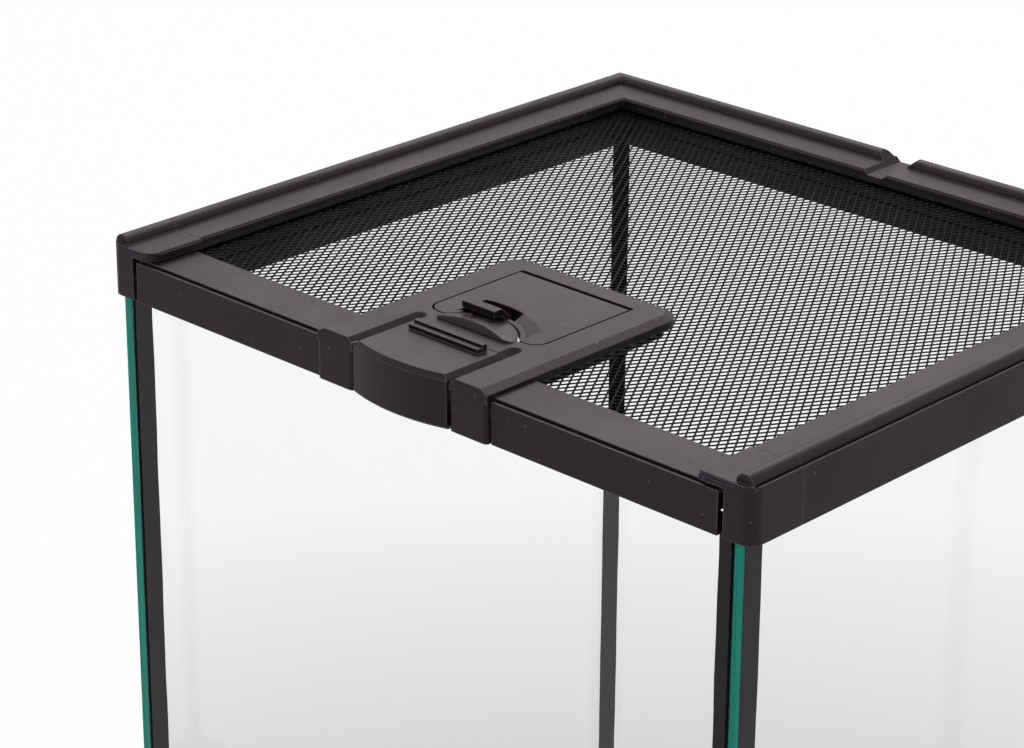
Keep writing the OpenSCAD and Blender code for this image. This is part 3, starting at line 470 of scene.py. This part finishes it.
def pale_floor(colour):
    """A floor that shows white, with a painted shadow that dims it near the tank where it is
    seen through a pane, and that keeps its real shadow.
    """
    material, tree, shader = new_material("pale_floor")
    shader.inputs["Base Color"].default_value = (*colour, 1.0)
    shader.inputs["Roughness"].default_value = 0.9
    reach = tree.nodes.new("ShaderNodeVectorMath")
    reach.operation = "LENGTH"
    feed(tree, object_place(tree), reach.inputs[0])
    # Painted shadow of the tank: the glowing floor seen through a pane is dimmed near the tank's
    # foot.
    shade = remap(
        tree, reach.outputs["Value"], FLOOR_SHADE_NEAR, FLOOR_SHADE_FAR, FLOOR_SHADE, 0.0)
    path = tree.nodes.new("ShaderNodeLightPath")
    through_pane = calculate(tree, "MULTIPLY", shade, path.outputs["Is Transmission Ray"])
    mirrored = mirrored_rays(tree)
    loss = calculate(tree, "MULTIPLY_ADD", mirrored, FLOOR_MIRROR_LOSS, through_pane)
    glow = tree.nodes.new("ShaderNodeEmission")
    feed(tree, mix_colour(tree, mirrored, WHITE, FLOOR_MIRROR_TINT), glow.inputs["Color"])
    feed(tree, remap(tree, loss, 0.0, 1.0, 1.0, 0.0), glow.inputs["Strength"])
    share = calculate(tree, "MULTIPLY", seen_directly(tree), FLOOR_GLOW_SHARE)
    mix_shaders(tree, share, shader.outputs["BSDF"], glow.outputs["Emission"])
    return material


# ---- Making pieces ----

def mesh_object(bm, name, material):
    """Turns a bmesh into an object in the scene. Its place stays in its mesh."""
    mesh = bpy.data.meshes.new(name)
    bm.to_mesh(mesh)
    bm.free()
    mesh.materials.append(material)
    made = bpy.data.objects.new(name, mesh)
    bpy.context.scene.collection.objects.link(made)
    return made


def finish_piece(bm, name, body, material):
    """Turns a bmesh into a piece that rides on a body."""
    piece = mesh_object(bm, name, material)
    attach(piece, body)
    return piece


def add_block(bm, low, high):
    """A box between two corners."""
    centre = [(a + b) / 2 for a, b in zip(low, high)]
    size = [b - a for a, b in zip(low, high)]
    bmesh.ops.create_cube(
        bm, size=1.0, matrix=Matrix.Translation(centre) @ Matrix.Diagonal((*size, 1.0)))


def add_fillet(bm, box, leg, side_leg, pane_t, bond, waviness):
    """A tooled corner seal: it fills the joint and ends in a hollow, slightly wavy fillet.

    A grid is wrapped round the seal's outline, so that its last column meets its first.
    """
    low, high = box
    left, front = low[0] < 0, low[1] < 0
    wall, face = (low if left else high)[0], (low if front else high)[1]
    across, inward = (1 if left else -1), (1 if front else -1)
    joint = ((0, 0), (bond / 2, 0), (bond, 0), (bond, pane_t))
    columns = SEAL_ARC_STEPS + 1 + len(joint)
    bmesh.ops.create_grid(bm, x_segments=columns, y_segments=SEAL_RINGS, size=1.0)
    for vert in bm.verts:
        column = round((vert.co.x + 1) / 2 * columns) % columns
        share = (vert.co.y + 1) / 2
        slow_wave = math.sin(37 * share + 5 * wall)
        quick_wave = 0.6 * math.sin(91 * share + 90 * face)
        swell = 1 + waviness * (slow_wave + quick_wave) / 2
        if column <= SEAL_ARC_STEPS:
            turn = column / SEAL_ARC_STEPS
            u = leg * swell * (1 - turn) ** SEAL_HOLLOW
            v = pane_t + side_leg * swell * turn ** SEAL_HOLLOW
        else:
            u, v = joint[column - SEAL_ARC_STEPS - 1]
        vert.co = (wall + across * u, face + inward * v, low[2] + (high[2] - low[2]) * share)
    bmesh.ops.remove_doubles(bm, verts=bm.verts[:], dist=0.01 * MM)
    bmesh.ops.holes_fill(bm, edges=[e for e in bm.edges if e.is_boundary], sides=0)
    bmesh.ops.recalc_face_normals(bm, faces=bm.faces[:])


def diamond_sheet(low, high, pitch_x, pitch_y):
    """A flat sheet of closed diamonds, cut to a box's outline."""
    centre = Vector(((low[0] + high[0]) / 2, (low[1] + high[1]) / 2, high[2] - SHEET_DROP))
    width, depth = high[0] - low[0], high[1] - low[1]
    cells = 2 * math.ceil((width / pitch_x + depth / pitch_y) / 2) + 2
    turned = Matrix.Rotation(math.pi / 4, 4, "Z")
    squash = Matrix.Diagonal((pitch_x, pitch_y, 1.0, 1.0))
    bm = bmesh.new()
    bmesh.ops.create_grid(
        bm, x_segments=cells, y_segments=cells, size=cells / 2 * math.sqrt(0.5),
        matrix=Matrix.Translation(centre) @ squash @ turned)
    for point, normal in (
            (low, (-1, 0, 0)), (high, (1, 0, 0)), (low, (0, -1, 0)), (high, (0, 1, 0))):
        bmesh.ops.bisect_plane(
            bm, geom=bm.verts[:] + bm.edges[:] + bm.faces[:], plane_co=point,
            plane_no=normal, clear_outer=True)
    return bm


def cut_port(bm, low, high):
    """Removes the diamonds inside the clamp's box, less the margin under the housing."""
    def inside(place):
        return all(low[i] + PORT_MARGIN < place[i] < high[i] - PORT_MARGIN for i in (0, 1))

    port = [f for f in bm.faces if inside(f.calc_center_median())]
    bmesh.ops.delete(bm, geom=port, context="FACES")


def open_diamonds(bm, sizes):
    """Opens the whole diamonds, crowns the strands and gives them their thickness."""
    full = sizes.pitch_x * sizes.pitch_y / 2
    diamonds = [f for f in bm.faces if f.calc_area() > WHOLE_DIAMOND * full]
    ridge = set(bm.verts)
    bmesh.ops.inset_individual(
        bm, faces=diamonds, thickness=sizes.strand / 2, use_even_offset=True)
    bmesh.ops.delete(bm, geom=diamonds, context="FACES_ONLY")
    bmesh.ops.translate(
        bm, verts=[v for v in bm.verts if v not in ridge], vec=(0, 0, -sizes.crown))
    under = bmesh.ops.extrude_face_region(bm, geom=bm.faces[:], use_keep_orig=True)
    bmesh.ops.translate(
        bm, verts=[g for g in under["geom"] if isinstance(g, bmesh.types.BMVert)],
        vec=(0, 0, -sizes.thickness))
    bmesh.ops.recalc_face_normals(bm, faces=bm.faces[:])


def nodes_with_slot(slot):
    return [s["node"] for s in RECORD["subparts"] if s["material_slot"] == slot]


def paint_nodes(names, material):
    """Gives CAD nodes a material."""
    for name in names:
        node = frame["nodes"][name]
        node.data.materials.clear()
        node.data.materials.append(material)


# ---- Light and camera ----

def light_world(scene):
    """A white backdrop that lights the object less strongly than it shows."""
    scene.world = bpy.data.worlds.new("studio")
    scene.world.use_nodes = True
    tree = scene.world.node_tree
    back = tree.nodes["Background"]
    colour = mix_colour(tree, mirrored_rays(tree), WHITE, WORLD_MIRROR_TINT)
    strength = remap(tree, seen_directly(tree), 0.0, 1.0, WORLD_LIGHT, 1.0)
    feed(tree, colour, back.inputs["Color"])
    feed(tree, strength, back.inputs["Strength"])


def add_lamp(scene, name, place, width, watts):
    """A square soft lamp aimed at the tank."""
    data = bpy.data.lights.new(name, "AREA")
    data.shape = "SQUARE"
    data.size = width
    data.energy = watts
    lamp = bpy.data.objects.new(name, data)
    scene.collection.objects.link(lamp)
    lamp.location = place
    lamp.rotation_mode = "QUATERNION"
    lamp.rotation_quaternion = (Vector(LAMP_TARGET) - Vector(place)).to_track_quat("-Z", "Y")


def add_camera(scene):
    data = bpy.data.cameras.new("camera")
    data.sensor_width = CAMERA_SENSOR
    data.lens = CAMERA_LENS
    data.shift_y = CAMERA_SHIFT
    data.clip_start, data.clip_end = 0.01, 50.0
    camera = bpy.data.objects.new("camera", data)
    scene.collection.objects.link(camera)
    azimuth, elevation = math.radians(CAMERA_AZIMUTH), math.radians(CAMERA_ELEVATION)
    away = Vector((math.sin(azimuth) * math.cos(elevation),
                   -math.cos(azimuth) * math.cos(elevation), math.sin(elevation)))
    roll = Quaternion((0, 0, 1), math.radians(CAMERA_ROLL))
    camera.location = CAMERA_PLACE
    camera.rotation_mode = "QUATERNION"
    camera.rotation_quaternion = (-away).to_track_quat("-Z", "Y") @ roll
    scene.camera = camera


# ---- Operators ----

class TERRARIUM_OT_frame(bpy.types.Operator):
    """Finish the moulded frame of the tank and the lid"""
    bl_idname = "terrarium.frame"
    bl_label = "Frame"

    def execute(self, context):
        plastic = moulded_plastic(
            "frame_plastic", context.scene.terrarium_finish.plastic, rough_low=0.36,
            rough_high=0.50, grain_depth=0.04 * MM)
        paint_nodes([n for n in nodes_with_slot("frame") if n not in LATCH_NODES], plastic)
        return {"FINISHED"}


class TERRARIUM_OT_latch(bpy.types.Operator):
    """Finish the latch housing, its tongue, the feeding hatch and the screws"""
    bl_idname = "terrarium.latch"
    bl_label = "Latch and hatch"

    def execute(self, context):
        hatch_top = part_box("feeding_hatch")[1][2]
        for name, nodes, pebble_depth in (
                ("latch_plastic", LEATHERY_NODES, 0.12 * MM),
                ("latch_gloss", GLOSSY_NODES, 0.0)):
            plastic = moulded_plastic(
                name, context.scene.terrarium_finish.plastic, rough_low=0.34,
                rough_high=0.48, grain_depth=0.035 * MM, rounding=0.35 * MM,
                raised_from=hatch_top + 0.1 * MM, pebble_depth=pebble_depth)
            paint_nodes(nodes, plastic)
        paint_nodes(nodes_with_slot("steel"), zinc_steel())
        return {"FINISHED"}


class TERRARIUM_OT_glass(bpy.types.Operator):
    """Finish the panes and add the green cut edges of the side panes"""
    bl_idname = "terrarium.glass"
    bl_label = "Glass"

    def execute(self, context):
        finish = context.scene.terrarium_finish
        paint_nodes(nodes_with_slot("glass"), pane_glass(finish.glass))
        edge = ground_edge(finish.cut_edge)
        film = 0.06 * MM
        inset = 0.25 * MM
        for node in ("glass_left", "glass_right"):
            low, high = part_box(node)
            bm = bmesh.new()
            add_block(bm, (low[0] + inset, low[1] - film, low[2] + inset),
                      (high[0] - inset, low[1] + film, high[2] - inset))
            finish_piece(bm, node.replace("glass", "cut_edge"), "tank", edge)
        return {"FINISHED"}


class TERRARIUM_OT_seals(bpy.types.Operator):
    """Finish the seals, and give the four in the upright corners a hollow fillet"""
    bl_idname = "terrarium.seals"
    bl_label = "Seals"

    def execute(self, context):
        sealant = silicone(context.scene.terrarium_finish.seal)
        paint_nodes(nodes_with_slot("silicone"), sealant)
        pane_low, pane_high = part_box("glass_front")
        pane_t = pane_high[1] - pane_low[1]
        s = context.scene.terrarium_seals
        flat = 0.999
        for node, leg, side_leg in (
                ("seal_front_left", s.front_leg, s.front_side_leg),
                ("seal_front_right", s.front_leg, s.front_side_leg),
                ("seal_rear_left", s.rear_leg, s.rear_side_leg),
                ("seal_rear_right", s.rear_leg, s.rear_side_leg)):
            bm = bmesh.new()
            add_fillet(bm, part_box(node), leg, side_leg, pane_t, s.bond, s.waviness)
            name = node.replace("seal", "silicone")
            bead = finish_piece(bm, name, "tank", sealant)
            for polygon in bead.data.polygons:
                normal = polygon.normal
                polygon.use_smooth = abs(normal.x) < flat and abs(normal.y) < flat
            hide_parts(node)
        return {"FINISHED"}


class TERRARIUM_OT_mesh(bpy.types.Operator):
    """Make the fine diamond mesh of the lid"""
    bl_idname = "terrarium.mesh"
    bl_label = "Mesh"

    def execute(self, context):
        sizes = context.scene.terrarium_mesh
        bm = diamond_sheet(*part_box("lid_mesh"), sizes.pitch_x, sizes.pitch_y)
        cut_port(bm, *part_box("latch_clamp"))
        open_diamonds(bm, sizes)
        paint = painted_wire(context.scene.terrarium_finish.wire)
        net = finish_piece(bm, "diamond_mesh", "lid", paint)
        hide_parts("lid_mesh")
        return {"FINISHED"}


class TERRARIUM_OT_stage(bpy.types.Operator):
    """Add the floor, the soft light and the camera"""
    bl_idname = "terrarium.stage"
    bl_label = "Stage"

    def execute(self, context):
        scene = context.scene
        bm = bmesh.new()
        bmesh.ops.create_circle(
            bm, cap_ends=True, radius=FLOOR_RADIUS, segments=64,
            matrix=Matrix.Translation((0, 0, -FLOOR_DROP)))
        floor = mesh_object(bm, "floor", pale_floor(scene.terrarium_finish.floor))
        light_world(scene)
        for lamp in LAMPS:
            add_lamp(scene, *lamp)
        add_camera(scene)
        scene.view_settings.view_transform = "Standard"
        return {"FINISHED"}


class TERRARIUM_PT_sidebar(bpy.types.Panel):
    """Lists the terrarium's pieces, sizes and colours"""
    bl_idname = "TERRARIUM_PT_sidebar"
    bl_label = "Terrarium"
    bl_space_type = "VIEW_3D"
    bl_region_type = "UI"
    bl_category = "Terrarium"

    def draw(self, context):
        for operator in STEPS:
            self.layout.operator(operator.bl_idname)
        scene = context.scene
        for group in (scene.terrarium_mesh, scene.terrarium_seals, scene.terrarium_finish):
            for label in group.__annotations__:
                self.layout.prop(group, label)


STEPS = (TERRARIUM_OT_frame, TERRARIUM_OT_latch, TERRARIUM_OT_glass, TERRARIUM_OT_seals,
         TERRARIUM_OT_mesh, TERRARIUM_OT_stage)
CLASSES = (TERRARIUM_PG_mesh, TERRARIUM_PG_seals, TERRARIUM_PG_finish, *STEPS,
           TERRARIUM_PT_sidebar)


def register():
    for cls in CLASSES:
        bpy.utils.register_class(cls)
    bpy.types.Scene.terrarium_mesh = PointerProperty(type=TERRARIUM_PG_mesh)
    bpy.types.Scene.terrarium_seals = PointerProperty(type=TERRARIUM_PG_seals)
    bpy.types.Scene.terrarium_finish = PointerProperty(type=TERRARIUM_PG_finish)


def unregister():
    del bpy.types.Scene.terrarium_finish
    del bpy.types.Scene.terrarium_seals
    del bpy.types.Scene.terrarium_mesh
    for cls in reversed(CLASSES):
        bpy.utils.unregister_class(cls)


def main():
    register()
    bpy.ops.terrarium.frame()
    bpy.ops.terrarium.latch()
    bpy.ops.terrarium.glass()
    bpy.ops.terrarium.seals()
    bpy.ops.terrarium.mesh()
    bpy.ops.terrarium.stage()


if __name__ == "__main__":
    main()
